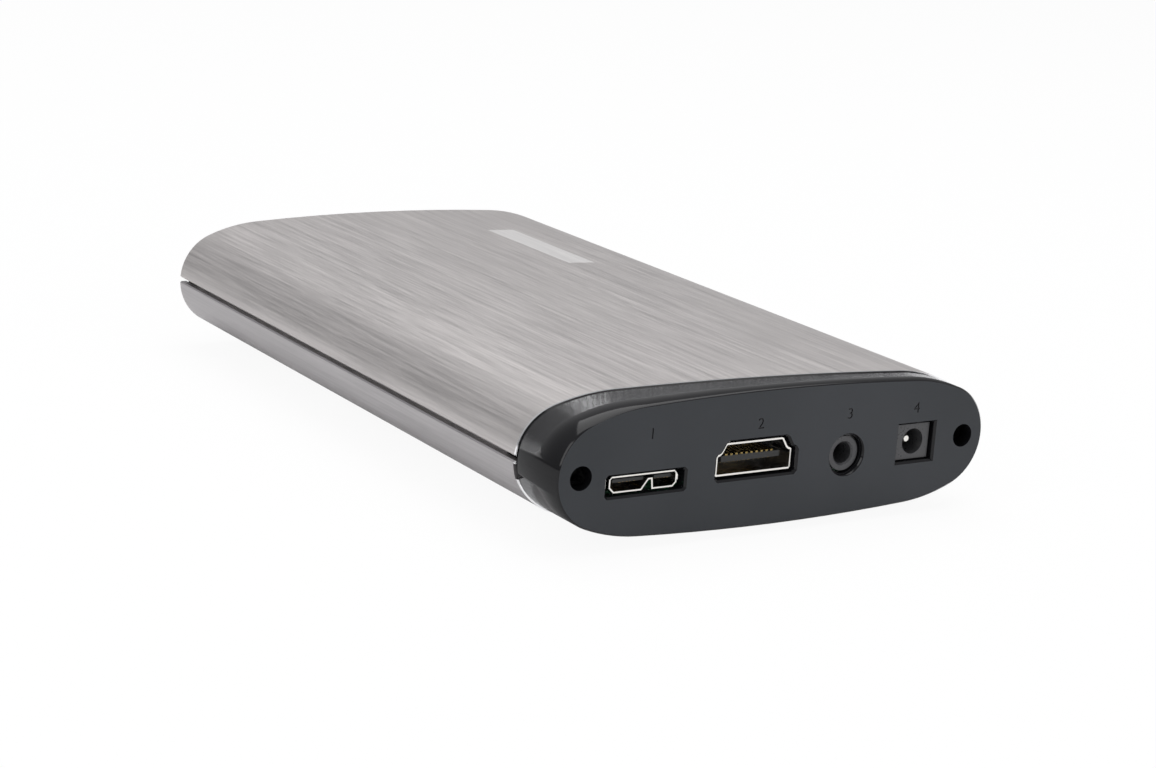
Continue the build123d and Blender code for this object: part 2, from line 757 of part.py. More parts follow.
def make_ribbon_connectors():
    size = ribbon_width + 3, 3.0
    far_depth = tray_back - signal_board[1] + 2.0
    main = on_board(ribbon_x, board_end - 2.0, (*size, -1.0), board_bottom)
    far = on_board(ribbon_x, far_depth, (*size, 0.9), deck_bottom - signal_standoff)
    return group(main, far)


def make_ribbon_cable():
    """Flat cable under the deck, from the main board to the signal board."""
    start, end = board_end - 0.5, tray_back - signal_board[1] + 0.5
    x = (ribbon_x - ribbon_width / 2, ribbon_x + ribbon_width / 2)
    return block(x, (start, end), (deck_bottom - 0.2, deck_bottom))


# ---- hard drive ----------------------------------------------------------------------
disk_radius = drive_width / 2 - 2.425
disk_bore, disk_thickness = 10.0, 0.64
disk_sides = 72
hub_sides = 20
disk_rises = (drive_bottom + 4.9, drive_bottom + 7.1)
spindle = (0.0, drive_end - 34.6)         # x and depth of the disk axis
pivot = (18.0, spindle[1] - 39.4)         # x and depth of the arm axis
arm_reach = 36.0
parked_angle = 51.5                       # between the parked arm and the line to the disk axis
pivot_radius = 2.0
running_fit = 0.05
base_low, base_floor, base_high = drive_bottom + 1.3, drive_bottom + 3.3, drive_bottom + 8.9
plug_recess = 9.5                         # length and height of the recess for the plug
plug_recess_top = drive_bottom + 6.4
cover_screw_radius = 0.8


def make_drive_base():
    """Cast box with a round bay for the disks, a bay for the arm and a recess for the board."""
    half = drive_width / 2
    base = bevelled(block((-half, half), (drive_start, drive_end), (drive_bottom, base_high)), 1.7)
    base -= post(*spindle, base_floor, base_high + 1, disk_radius + 0.7, disk_sides)
    arm_bay = block((-half + 4, half - 2.2), (drive_start + plug_recess + 1.5, spindle[1] - 12),
                    (base_floor, base_high + 1))
    base -= bevelled(arm_bay, 2)
    base += post(*pivot, base_floor - 0.1, base_high, pivot_radius)
    base += post(*spindle, base_floor - 0.1, disk_rises[1], pivot_radius)
    base -= block((-half + 2, half - 2), (drive_start + plug_recess - 0.5, drive_end - 2),
                  (drive_bottom - 1, base_low))
    base -= block((-23.0, 23.0), (drive_start - 1, drive_start + plug_recess),
                  (drive_bottom - 1, plug_recess_top))
    for x, depth in cover_screw_places():
        base -= post(x, depth, base_high - 3, base_high + 1, cover_screw_radius + joint_fit, screw_sides)
    for sx in (-1, 1):
        for depth in (14.0, 90.6):
            place = Pos(sx * half, face_y + drive_start + depth, axis_z + drive_bottom + 3.0)
            base -= place * Rot(0, 90, 0) * bar(1.25, 3.0, screw_sides)
    return base


def cover_screw_places():
    half = drive_width / 2 - 2.6
    return [(sx * half, d) for sx in (-1, 1) for d in (drive_start + 3.0, drive_end - 3.0)]


def make_drive_cover():
    """Stamped lid."""
    half = drive_width / 2 - 0.4
    top = drive_bottom + drive_height
    cover = bevelled(block((-half, half), (drive_start + 0.6, drive_end - 0.4), (base_high, top)), 1.6)
    for x, depth in cover_screw_places():
        cover -= post(x, depth, base_high - 1, top + 1, cover_screw_radius + joint_fit, screw_sides)
        cover -= post(x, depth, top - 0.35, top + 1, head_radius, screw_sides)
    return cover


def make_cover_screws():
    top = drive_bottom + drive_height
    screws = []
    for x, depth in cover_screw_places():
        head = post(x, depth, top - 0.35, top, head_radius - joint_fit, screw_sides)
        screws.append(head + post(x, depth, base_high - 2.6, top - 0.3, cover_screw_radius, screw_sides))
    return group(*screws)


def make_drive_board():
    half = drive_width / 2 - 2.3
    board = block((-half, half), (drive_start + plug_recess, drive_start + 62), (base_low - 0.8, base_low))
    return board - post(*spindle, drive_bottom, base_floor, 14.0, hub_sides)


def make_drive_chips():
    low = base_low - 0.8
    places = ((-14.0, 56.0, 10.0), (10.0, 54.0, 7.0))
    return group(*[on_board(x, depth, (size, size, -0.3), low) for x, depth, size in places])


def make_drive_plug():
    """Plastic block at the end of the drive with the two contact tongues."""
    start = drive_start + 5.2
    plug = block((-22.5, 22.5), (start, drive_start + plug_recess), (base_low - 0.8, plug_recess_top - 0.2))
    rise = (sata_rise() - tongue_thickness / 2, sata_rise() + tongue_thickness / 2)
    for tongue in sata_tongues:
        plug += block(tongue, (drive_start + 0.6, start + 1), rise)
    return plug


def make_spindle_motor():
    motor = post(*spindle, base_floor, disk_rises[0] - 0.7, 9.0, hub_sides)
    return motor - post(*spindle, base_floor - 1, disk_rises[0], pivot_radius)


def make_disks():
    return group(*[post(*spindle, low, low + disk_thickness, disk_radius, disk_sides)
                   - post(*spindle, low - 1, low + 2, disk_bore, hub_sides) for low in disk_rises])


def make_disk_hub():
    """Rotor that carries the disks: flange, spacer and clamp on one core."""
    first, second = disk_rises
    flange = disk_bore + 1.5
    clamp = second + disk_thickness
    hub = post(*spindle, first - 0.4, clamp + 0.4, disk_bore - joint_fit, hub_sides)
    for low, high in ((first - 0.4, first), (first + disk_thickness, second), (clamp, clamp + 0.4)):
        hub += post(*spindle, low, high, flange, hub_sides)
    return hub - post(*spindle, first - 1, second + 0.3, pivot_radius + running_fit)


def arm_place():
    """Arm axis, turned so that X points along the parked arm."""
    across, along = spindle[0] - pivot[0], spindle[1] - pivot[1]
    turn = math.degrees(math.atan2(along, across)) + parked_angle
    return Pos(pivot[0], face_y + pivot[1], axis_z) * Rot(0, 0, turn)


def sector(inner, outer, half_angle, low, high, centre=180.0):
    """Upright sector about the arm axis, seen from the parked arm."""
    wedge = Polyline((0, 0), (2 * outer, -2 * outer * math.tan(math.radians(half_angle))),
                     (2 * outer, 2 * outer * math.tan(math.radians(half_angle))), close=True)
    plan = (Circle(outer) - Circle(inner)) & make_face(wedge)
    return arm_place() * Rot(0, 0, centre) * Pos(0, 0, low) * extrude(plan, amount=high - low)


def make_head_arm():
    """Three arms with their heads, the barrel they turn on and the frame of the coil."""
    low, high = base_floor + 0.3, base_high - 0.3
    barrel = 5.5
    arm = post(*pivot, low, high, barrel, hub_sides)
    blade = make_face(Polyline((0, -barrel * 0.8), (arm_reach, -0.9), (arm_reach, 0.9),
                               (0, barrel * 0.8), close=True))
    thickness = 0.5
    gaps = ((base_floor, disk_rises[0]), (disk_rises[0] + disk_thickness, disk_rises[1]),
            (disk_rises[1] + disk_thickness, base_high))
    for floor, ceiling in gaps:
        start = (floor + ceiling - thickness) / 2
        arm += arm_place() * Pos(0, 0, start) * extrude(blade, amount=thickness)
    arm += sector(barrel - 1, 13.5, 28.0, base_floor + 1.7, base_floor + 3.5)
    return arm - post(*pivot, base_floor, base_high, pivot_radius + running_fit)


def make_coil_magnets():
    """Lower and upper magnet plate of the arm motor."""
    lower = sector(6.5, 14.0, 42.0, base_floor, base_floor + 1.3, 165.0)
    upper = sector(6.5, 14.0, 42.0, base_floor + 3.9, base_high, 165.0)
    return group(lower, upper)


def make_head_ramp():
    """Post beside the disks that the parked heads rest against."""
    ramp = Pos(arm_reach + 1.6, 0, base_floor) * extrude(Rectangle(2.4, 3.0), amount=base_high - base_floor)
    return arm_place() * ramp


nodes["upper_shell"] = make_upper_shell
nodes["lower_shell"] = make_lower_shell
nodes["end_cap"] = make_end_cap
nodes["signal_window"] = make_signal_window
nodes["end_cap_screws"] = make_end_screws
nodes["rubber_feet"] = make_rubber_feet
nodes["hold_down_pad"] = make_hold_down_pad
nodes["port_cap"] = make_port_cap
nodes["cap_screw_left"] = lambda: make_cap_screw(-1)
nodes["cap_screw_right"] = lambda: make_cap_screw(1)
nodes["drive_tray"] = make_drive_tray
nodes["tray_screws"] = make_tray_screws
nodes["main_board"] = make_main_board
nodes["board_screws"] = make_board_screws
nodes["media_processor"] = make_media_processor
nodes["heat_sink"] = make_heat_sink
nodes["memory_chips"] = make_memory_chips
nodes["flash_chip"] = make_flash_chip
nodes["bridge_chip"] = make_bridge_chip
nodes["capacitors"] = make_capacitors
nodes["inductors"] = make_inductors
nodes["crystals"] = make_crystals
nodes["usb_shell"] = make_usb_shell
nodes["usb_insert"] = make_usb_insert
nodes["usb_contacts"] = make_usb_contacts
nodes["hdmi_shell"] = make_hdmi_shell
nodes["hdmi_insert"] = make_hdmi_insert
nodes["hdmi_contacts"] = make_hdmi_contacts
nodes["av_jack_body"] = make_av_jack_body
nodes["av_jack_springs"] = make_av_jack_springs
nodes["dc_jack_body"] = make_dc_jack_body
nodes["dc_jack_pin"] = make_dc_jack_pin
nodes["dc_jack_spring"] = make_dc_jack_spring
nodes["sata_receptacle"] = make_sata_receptacle
nodes["sata_contacts"] = make_sata_contacts
nodes["signal_board"] = make_signal_board
nodes["signal_board_screws"] = make_signal_board_screws
nodes["ir_receiver"] = make_ir_receiver
nodes["status_led"] = make_status_led
nodes["ribbon_connectors"] = make_ribbon_connectors
nodes["ribbon_cable"] = make_ribbon_cable
nodes["drive_base"] = make_drive_base
nodes["drive_cover"] = make_drive_cover
nodes["drive_board"] = make_drive_board
nodes["drive_chips"] = make_drive_chips
nodes["drive_plug"] = make_drive_plug
nodes["spindle_motor"] = make_spindle_motor
nodes["disks"] = make_disks
nodes["disk_hub"] = make_disk_hub
nodes["head_arm"] = make_head_arm
nodes["coil_magnets"] = make_coil_magnets
nodes["head_ramp"] = make_head_ramp
nodes["cover_screws"] = make_cover_screws

os.makedirs("parts", exist_ok=True)
for name, make in nodes.items():
    export_step(make(), f"parts/{name}.step")
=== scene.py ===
import math
import random

import bmesh
import bpy
from mathutils import Matrix, Vector


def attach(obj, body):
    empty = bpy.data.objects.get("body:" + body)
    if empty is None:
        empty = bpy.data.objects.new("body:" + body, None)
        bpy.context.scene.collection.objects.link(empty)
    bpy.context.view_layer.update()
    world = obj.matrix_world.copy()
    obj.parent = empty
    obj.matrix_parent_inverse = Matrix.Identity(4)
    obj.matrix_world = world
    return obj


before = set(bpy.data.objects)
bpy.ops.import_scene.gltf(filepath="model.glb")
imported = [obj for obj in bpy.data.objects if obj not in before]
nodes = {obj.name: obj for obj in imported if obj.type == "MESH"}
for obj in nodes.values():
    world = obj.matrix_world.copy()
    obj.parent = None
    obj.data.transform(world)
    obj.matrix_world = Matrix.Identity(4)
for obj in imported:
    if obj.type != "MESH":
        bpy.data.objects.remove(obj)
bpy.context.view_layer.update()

# Sizes are in mm. Depths run back from the port face, rises up from the axis of the cap screws.
MM = 0.001
LENGTH, WIDTH = 141.5, 85.8
FACE = -LENGTH / 2 * MM                              # y of the port face, in metres
AXIS = 12.8 * MM                                     # height of the screws' axis, in metres
EDGE_LEFT, EDGE_MIDDLE, EDGE_RIGHT = 12.2, 6.0, 5.0  # depths of the shells' front edge
SEAM = 0.1                                           # rise of the seam between the shells
BOARD_TOP, BOARD_BOTTOM = -3.4, -5.0
BOARD_SCREW_X, BOARD_SCREW_DEPTHS, BOARD_SCREW_HEAD = 33, (20.0, 28.6), 0.8
DRIVE_START, DRIVE_END, DRIVE_TOP = 31.8, 132.0, 5.7
SPINDLE = 97.4                                       # depth of the drive's spindle
COVER_SCREW_X, COVER_SCREW_INSET = 32.325, 3
SHELL_SCREW_X, CAP_SCREW_HEAD, END_SCREW_HEAD = 38.3, 6.7, 140.5
MARK_X, MARK_DEPTH, MARK_FADE = (14.5, 20.5), (90, 121), 0.1
LABEL_X, LABEL_DEPTH = (-29, 24), (46, 86)
BARS_X, BARS_DEPTH = (-26, 4), (50, 55)
LINES_X, LINES_DEPTH, LINE_PITCH = (-26, 20), (60, 82), 4.4
NUMERAL_PLACES = ((-25.5, 6.0), (-4.5, 5.8), (13.6, 5.9), (27.7, 5.7))
NUMERAL_HEIGHT, NUMERAL_CUT = 2.6, 0.12
ROOM, END_SHARE = 0.35, 0.22                         # free border of a small part, share of its end
rnd = random.Random(7)


def at(x, depth, rise):
    """Point in metres from x, depth behind the port face and rise above the screw axis, in mm."""
    return Vector((x * MM, FACE + depth * MM, AXIS + rise * MM))


def place(data, name):
    """New object for the data, in the scene."""
    made = bpy.data.objects.new(name, data)
    bpy.context.scene.collection.objects.link(made)
    return made


# ---- shader helpers ------------------------------------------------------------------
def add_node(tree, kind, **settings):
    made = tree.nodes.new("ShaderNode" + kind)
    for key, value in settings.items():
        setattr(made, key, value)
    return made


class Mat:
    """A node material with short calls for the usual nodes."""

    def __init__(self, name, color=(0.5, 0.5, 0.5), metallic=0.0, roughness=0.5, **more):
        self.mat = bpy.data.materials.new(name)
        self.mat.use_nodes = True
        self.tree = self.mat.node_tree
        self.bsdf = self.tree.nodes["Principled BSDF"]
        self.put("Base Color", (*color, 1) if not hasattr(color, "node") else color)
        self.put("Metallic", metallic)
        self.put("Roughness", roughness)
        for key, value in more.items():
            self.put(key.replace("_", " "), value)

    def put(self, socket, value):
        target = self.bsdf.inputs[socket]
        if hasattr(value, "node"):
            self.tree.links.new(value, target)
        else:
            target.default_value = value

    def node(self, kind, **settings):
        return add_node(self.tree, kind, **settings)

    def link(self, target, value):
        if hasattr(value, "node"):
            self.tree.links.new(value, target)
        else:
            target.default_value = value

    def coords(self, kind="Object"):
        return self.node("TexCoord").outputs[kind]

    def scaled(self, scale):
        mapping = self.node("Mapping")
        self.link(mapping.inputs["Vector"], self.coords())
        mapping.inputs["Scale"].default_value = scale
        return mapping.outputs["Vector"]

    def noise(self, scale=(1, 1, 1), size=1.0, detail=3.0, rough=0.5):
        made = self.node("TexNoise")
        self.link(made.inputs["Vector"], self.scaled(scale))
        made.inputs["Scale"].default_value = size
        made.inputs["Detail"].default_value = detail
        made.inputs["Roughness"].default_value = rough
        return made.outputs["Fac"]

    def math(self, op, a, b=0.0, clamp=False):
        made = self.node("Math", operation=op, use_clamp=clamp)
        self.link(made.inputs[0], a)
        self.link(made.inputs[1], b)
        return made.outputs[0]

    def times(self, a, b):
        return self.math("MULTIPLY", a, b)

    def rest(self, share):
        """What is left of 1."""
        return self.math("SUBTRACT", 1.0, share)

    def distance(self, dx, dy):
        return self.math("SQRT", self.math("ADD", self.times(dx, dx), self.times(dy, dy)))

    def ramp(self, value, low, high, to_low=0.0, to_high=1.0):
        """Value from low to high, mapped to to_low to to_high and held there."""
        made = self.node("MapRange")
        made.clamp = True
        for name, v in zip(("Value", "From Min", "From Max", "To Min", "To Max"),
                           (value, low, high, to_low, to_high)):
            self.link(made.inputs[name], v)
        return made.outputs[0]

    def mix(self, fac, a, b):
        """Colour a where fac is 0, colour b where it is 1."""
        made = self.node("Mix", data_type="RGBA")
        self.link(made.inputs[0], fac)
        for index, color in ((6, a), (7, b)):
            self.link(made.inputs[index], (*color, 1) if isinstance(color, tuple) else color)
        return made.outputs[2]

    def xyz(self, vector=None):
        split = self.node("SeparateXYZ")
        self.link(split.inputs[0], vector or self.coords())
        return split.outputs

    def bump(self, height, strength, distance):
        made = self.node("Bump")
        made.inputs["Strength"].default_value = strength
        made.inputs["Distance"].default_value = distance
        self.link(made.inputs["Height"], height)
        self.put("Normal", made.outputs[0])


def spread_about(color, spread):
    """Darker and lighter colour about this one."""
    return tuple(c * (1 - spread) for c in color), tuple(min(1, c * (1 + spread)) for c in color)


def circle_through(one, two, three):
    """Centre and radius of the circle through three points in the plane."""
    (x1, y1), (x2, y2), (x3, y3) = one, two, three
    d = 2 * (x1 * (y2 - y3) + x2 * (y3 - y1) + x3 * (y1 - y2))
    s1, s2, s3 = x1**2 + y1**2, x2**2 + y2**2, x3**2 + y3**2
    ux = (s1 * (y2 - y3) + s2 * (y3 - y1) + s3 * (y1 - y2)) / d
    uy = (s1 * (x3 - x2) + s2 * (x1 - x3) + s3 * (x2 - x1)) / d
    return ux, uy, math.hypot(x1 - ux, y1 - uy)


def grained(name, color, roughness=0.5, metallic=0.0, spread=0.12, size=2500, bump=0.1, **more):
    """Material with fine grain: its colour, gloss and surface vary a little."""
    m = Mat(name, color, metallic, roughness, **more)
    n = m.noise(size=size, detail=4)
    cloud = m.noise(size=90, detail=2)
    both = m.math("ADD", m.times(n, 0.6), m.times(cloud, 0.4))
    m.put("Base Color", m.mix(both, *spread_about(color, spread)))
    m.put("Roughness", m.ramp(both, 0.3, 0.7, max(0.02, roughness - 0.06), min(1, roughness + 0.06)))
    m.bump(n, bump, 0.00005)
    return m


def brushed(name, color, roughness, contrast, marked=False):
    """Aluminium brushed along the housing, with a bright cut along the curved front edge."""
    m = Mat(name, color, 1.0, roughness)
    fine = m.noise((2600, 55, 2600), 1.0, 5, 0.7)
    broad = m.noise((1300, 26, 1300), 1.0, 4, 0.65)
    cloud = m.noise((20, 12, 20), 1.0, 2, 0.5)
    streak = m.math("ADD", m.times(fine, 0.6), m.times(broad, 0.4))
    tone = m.mix(m.ramp(streak, 0.36, 0.64), *spread_about(color, contrast))
    tone = m.mix(m.ramp(cloud, 0.3, 0.7, 0.0, 0.25), tone, color)
    x, y, _ = m.xyz()
    # the front edge is an arc in plan, with its centre behind it
    across, depth, radius = circle_through((-WIDTH / 2, EDGE_LEFT), (0, EDGE_MIDDLE),
                                           (WIDTH / 2, EDGE_RIGHT))
    reach = m.distance(m.math("SUBTRACT", x, across * MM), m.math("SUBTRACT", y, FACE + depth * MM))
    cut = m.ramp(m.math("SUBTRACT", radius * MM, reach), 0.00032, 0.00045, 1.0, 0.0)
    base = m.mix(cut, tone, (0.93, 0.93, 0.94))
    rough = m.ramp(streak, 0.3, 0.7, roughness - 0.05, roughness + 0.12)
    m.put("Roughness", m.math("ADD", m.times(rough, m.rest(cut)), m.times(cut, 0.12)))
    if marked:
        # plain pale bar on the top
        def faded(value, low, high, start=0.0):
            first = m.ramp(value, start + low * MM, start + (low + MARK_FADE) * MM)
            last = m.ramp(value, start + (high - MARK_FADE) * MM, start + high * MM, 1.0, 0.0)
            return m.times(first, last)
        bar = m.times(faded(x, *MARK_X), faded(y, *MARK_DEPTH, FACE))
        paint = m.times(bar, 0.45)
        base = m.mix(paint, base, (0.86, 0.86, 0.85))
        m.put("Metallic", m.rest(paint))
    m.put("Base Color", base)
    m.bump(streak, 0.3, 0.00004)
    return m


shell_top = brushed("shell_top_brushed", (0.60, 0.575, 0.565), 0.46, 0.13, marked=True)
shell_bottom = brushed("shell_bottom_brushed", (0.45, 0.435, 0.44), 0.46, 0.13)


def cap_material():
    """Gloss band with a satin port face."""
    m = Mat("cap_gloss_and_satin", (0.02, 0.02, 0.022), 0.0, 0.12)
    _, y, z = m.xyz()
    facing = m.xyz(m.coords("Normal"))[1]
    face = m.times(m.math("LESS_THAN", facing, -0.95), m.math("LESS_THAN", y, FACE + 0.00002))
    grain = m.noise(size=4200, detail=3)
    cloud = m.noise(size=40, detail=2)
    satin = m.mix(m.ramp(cloud, 0.3, 0.7), (0.026, 0.029, 0.033), (0.034, 0.037, 0.042))
    m.put("Base Color", m.mix(face, (0.006, 0.006, 0.007), satin))
    gloss = m.ramp(m.noise(size=150, detail=2), 0.3, 0.7, 0.07, 0.11)
    m.put("Roughness", m.math("ADD", m.times(face, 0.34), gloss))
    m.put("Specular IOR Level", 0.28)
    # parting line of the mould, level with the seam of the shells
    off_seam = m.math("ABSOLUTE", m.math("SUBTRACT", z, AXIS + SEAM * MM))
    line = m.times(m.math("LESS_THAN", off_seam, 0.00007), m.rest(face))
    m.bump(m.math("SUBTRACT", m.times(m.times(grain, face), 0.25), line), 0.25, 0.00005)
    return m


cap = cap_material()
dark_plastic = grained("dark_plastic", (0.035, 0.035, 0.038), 0.45, bump=0.2)
tray_plastic = grained("tray_plastic", (0.028, 0.028, 0.031), 0.42, bump=0.25)
socket_black = grained("socket_black", (0.012, 0.012, 0.012), 0.4, bump=0.1)
collar_grey = grained("jack_collar", (0.05, 0.05, 0.053), 0.3, bump=0.05)
rubber = grained("foot_rubber", (0.02, 0.02, 0.02), 0.8, bump=0.4, size=3500)
foam = grained("foam", (0.035, 0.035, 0.037), 0.95, bump=0.9, size=1800, spread=0.4)
nickel = grained("nickel_plate", (0.80, 0.78, 0.74), 0.16, 1.0, spread=0.06, bump=0.05)
zinc = grained("zinc_screw", (0.62, 0.62, 0.60), 0.3, 1.0, spread=0.1, bump=0.1)
black_zinc = grained("black_screw", (0.06, 0.06, 0.06), 0.35, 0.9, spread=0.2, bump=0.1)
gold = grained("gold_contact", (0.86, 0.62, 0.24), 0.2, 1.0, spread=0.08, bump=0.05)
epoxy = grained("chip_epoxy", (0.022, 0.022, 0.024), 0.55, bump=0.3, size=5000)
can = grained("capacitor_sleeve", (0.55, 0.56, 0.58), 0.25, 1.0, spread=0.06)
ferrite = grained("ferrite", (0.09, 0.09, 0.095), 0.7, bump=0.5)
white_plastic = grained("connector_plastic", (0.72, 0.69, 0.60), 0.5, bump=0.15)
machined = grained("machined_aluminium", (0.60, 0.61, 0.62), 0.28, 1.0, spread=0.06)
cast = grained("cast_aluminium", (0.42, 0.43, 0.45), 0.5, 1.0, spread=0.16, size=1400, bump=0.5)
magnet = grained("magnet_plate", (0.62, 0.61, 0.58), 0.25, 1.0, spread=0.05)
disk = grained("disk_mirror", (0.86, 0.86, 0.88), 0.05, 1.0, spread=0.02, bump=0.0)
led = grained("led_lens", (0.45, 0.60, 0.90), 0.15, Transmission_Weight=0.5)
smoked = grained("smoked_window", (0.012, 0.004, 0.008), 0.08, spread=0.3, bump=0.02,
                 Transmission_Weight=0.35)


def ribbon_material():
    """Flat cable with its wires side by side."""
    m = Mat("ribbon", (0.8, 0.8, 0.78), 0.0, 0.4)
    x = m.xyz()[0]
    wave = m.math("SINE", m.times(x, 2 * math.pi / 0.0005))
    m.put("Base Color", m.mix(m.ramp(wave, -0.2, 0.6), (0.42, 0.44, 0.48), (0.80, 0.80, 0.78)))
    m.bump(wave, 0.3, 0.00005)
    return m


def board_material():
    """Solder mask with traces, ground pour and vias."""
    m = Mat("solder_mask", (0.01, 0.08, 0.03), 0.0, 0.3)
    cells = m.node("TexBrick")
    m.link(cells.inputs["Vector"], m.scaled((420, 420, 420)))
    cells.inputs["Scale"].default_value = 1.0
    cells.inputs["Mortar Size"].default_value = 0.16
    for socket, value in (("Color1", 0), ("Color2", 0), ("Mortar", 1)):
        cells.inputs[socket].default_value = (value, value, value, 1)
    trace = m.ramp(cells.outputs["Color"], 0.2, 0.8)
    where = m.ramp(m.noise(size=260, detail=1), 0.47, 0.53)
    trace = m.times(trace, where)
    pour = m.ramp(m.noise(size=110, detail=2), 0.44, 0.5)
    dots = m.node("TexVoronoi", feature="F1")
    m.link(dots.inputs["Vector"], m.scaled((520, 520, 1)))
    dots.inputs["Scale"].default_value = 1.0
    via = m.math("LESS_THAN", dots.outputs["Distance"], 0.14)
    base = m.mix(pour, (0.006, 0.055, 0.022), (0.010, 0.105, 0.040))
    base = m.mix(trace, base, (0.020, 0.19, 0.075))
    base = m.mix(via, base, (0.55, 0.47, 0.26))
    m.put("Base Color", base)
    m.put("Metallic", m.times(via, 0.8))
    m.bump(m.math("ADD", m.times(trace, 0.7), pour), 0.3, 0.00004)
    return m


def stamped_material():
    """Drive cover: rolled steel with a dished hub and a plain label of bars and lines, no words."""
    m = Mat("stamped_steel", (0.6, 0.61, 0.62), 1.0, 0.3)
    n = m.noise((900, 60, 900), 1.0, 4, 0.6)
    x, y, z = m.xyz()
    centre = at(0, SPINDLE, 0)
    r = m.distance(m.math("SUBTRACT", x, centre.x), m.math("SUBTRACT", y, centre.y))
    hub = m.ramp(r, 0.0060, 0.0050)

    def between(value, low, high):
        return m.times(m.math("GREATER_THAN", value, low), m.math("LESS_THAN", value, high))

    def patch(sides, depths):
        return m.times(between(x, sides[0] * MM, sides[1] * MM),
                       between(y, at(0, depths[0], 0).y, at(0, depths[1], 0).y))

    top = m.math("GREATER_THAN", z, AXIS + (DRIVE_TOP - 0.02) * MM)
    label = m.times(patch(LABEL_X, LABEL_DEPTH), top)
    code = m.math("GREATER_THAN", m.noise((4200, 0, 0), 1.0, 0), 0.5)
    wave = m.math("SINE", m.times(y, 2 * math.pi / (LINE_PITCH * MM)))
    lines = m.math("GREATER_THAN", wave, 0.8)
    ink = m.math("ADD", m.times(patch(BARS_X, BARS_DEPTH), code),
                 m.times(patch(LINES_X, LINES_DEPTH), lines), clamp=True)
    paper = m.mix(ink, (0.80, 0.80, 0.79), (0.22, 0.22, 0.23))
    steel = m.mix(n, (0.50, 0.51, 0.52), (0.68, 0.69, 0.70))
    m.put("Base Color", m.mix(label, steel, paper))
    m.put("Metallic", m.rest(label))
    m.put("Roughness", m.math("ADD", m.ramp(n, 0.3, 0.7, 0.24, 0.36), m.times(label, 0.25)))
    m.bump(m.math("SUBTRACT", m.times(n, 0.05), hub), 0.9, 0.0003)
    return m


looks = {
    "upper_shell": shell_top, "lower_shell": shell_bottom, "port_cap": cap, "end_cap": dark_plastic,
    "signal_window": smoked, "end_cap_screws": black_zinc, "rubber_feet": rubber, "hold_down_pad": foam,
    "cap_screw_left": zinc, "cap_screw_right": zinc, "drive_tray": tray_plastic, "tray_screws": zinc,
    "main_board": board_material(), "board_screws": zinc, "media_processor": epoxy,
    "heat_sink": machined, "memory_chips": epoxy, "flash_chip": epoxy, "bridge_chip": epoxy,
    "capacitors": can, "inductors": ferrite, "crystals": nickel, "usb_shell": nickel,
    "usb_insert": socket_black, "usb_contacts": gold, "hdmi_shell": nickel, "hdmi_insert": socket_black,
    "hdmi_contacts": gold, "av_jack_body": collar_grey, "av_jack_springs": nickel,
    "dc_jack_body": collar_grey, "dc_jack_pin": nickel, "dc_jack_spring": nickel,
    "sata_receptacle": socket_black, "sata_contacts": gold, "signal_board": board_material(),
    "signal_board_screws": zinc, "ir_receiver": epoxy, "status_led": led,
    "ribbon_connectors": white_plastic, "ribbon_cable": ribbon_material(), "drive_base": cast,
    "drive_cover": stamped_material(), "drive_board": board_material(), "drive_chips": epoxy,
    "drive_plug": socket_black, "spindle_motor": cast, "disks": disk, "disk_hub": machined,
    "head_arm": machined, "coil_magnets": magnet, "head_ramp": white_plastic, "cover_screws": zinc,
}
for name, look in looks.items():
    node = nodes[name]
    node.data.materials.clear()
    node.data.materials.append(look.mat)


# ---- numerals above the sockets ------------------------------------------------------
def numerals():
    """Plain numerals cut into the port face: one text per socket, hidden, used as cutters."""
    for number, (x, rise) in enumerate(NUMERAL_PLACES, 1):
        curve = bpy.data.curves.new(f"numeral_{number}", "FONT")
        curve.body = str(number)
        curve.size = NUMERAL_HEIGHT * MM
        curve.align_x, curve.align_y = "CENTER", "CENTER"
        curve.extrude = NUMERAL_CUT * MM
        flat = place(curve, f"numeral_{number}_flat")
        bpy.context.view_layer.update()
        graph = bpy.context.evaluated_depsgraph_get()
        mesh = bpy.data.meshes.new_from_object(flat.evaluated_get(graph))
        bpy.data.objects.remove(flat)
        cutter = place(mesh, f"numeral_{number}")
        mesh.transform(Matrix.Translation(at(x, 0, rise)) @ Matrix.Rotation(math.radians(90), 4, "X"))
        weld = bmesh.new()
        weld.from_mesh(mesh)
        bmesh.ops.remove_doubles(weld, verts=weld.verts, dist=1e-7)
        weld.to_mesh(mesh)
        weld.free()
        mesh.materials.append(cap.mat)
        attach(cutter, "tray")
        cutter.hide_render = True
        cutter.display_type = "WIRE"
        cut = nodes["port_cap"].modifiers.new(f"numeral_{number}", "BOOLEAN")
        cut.operation, cut.solver, cut.object = "DIFFERENCE", "EXACT", cutter


numerals()


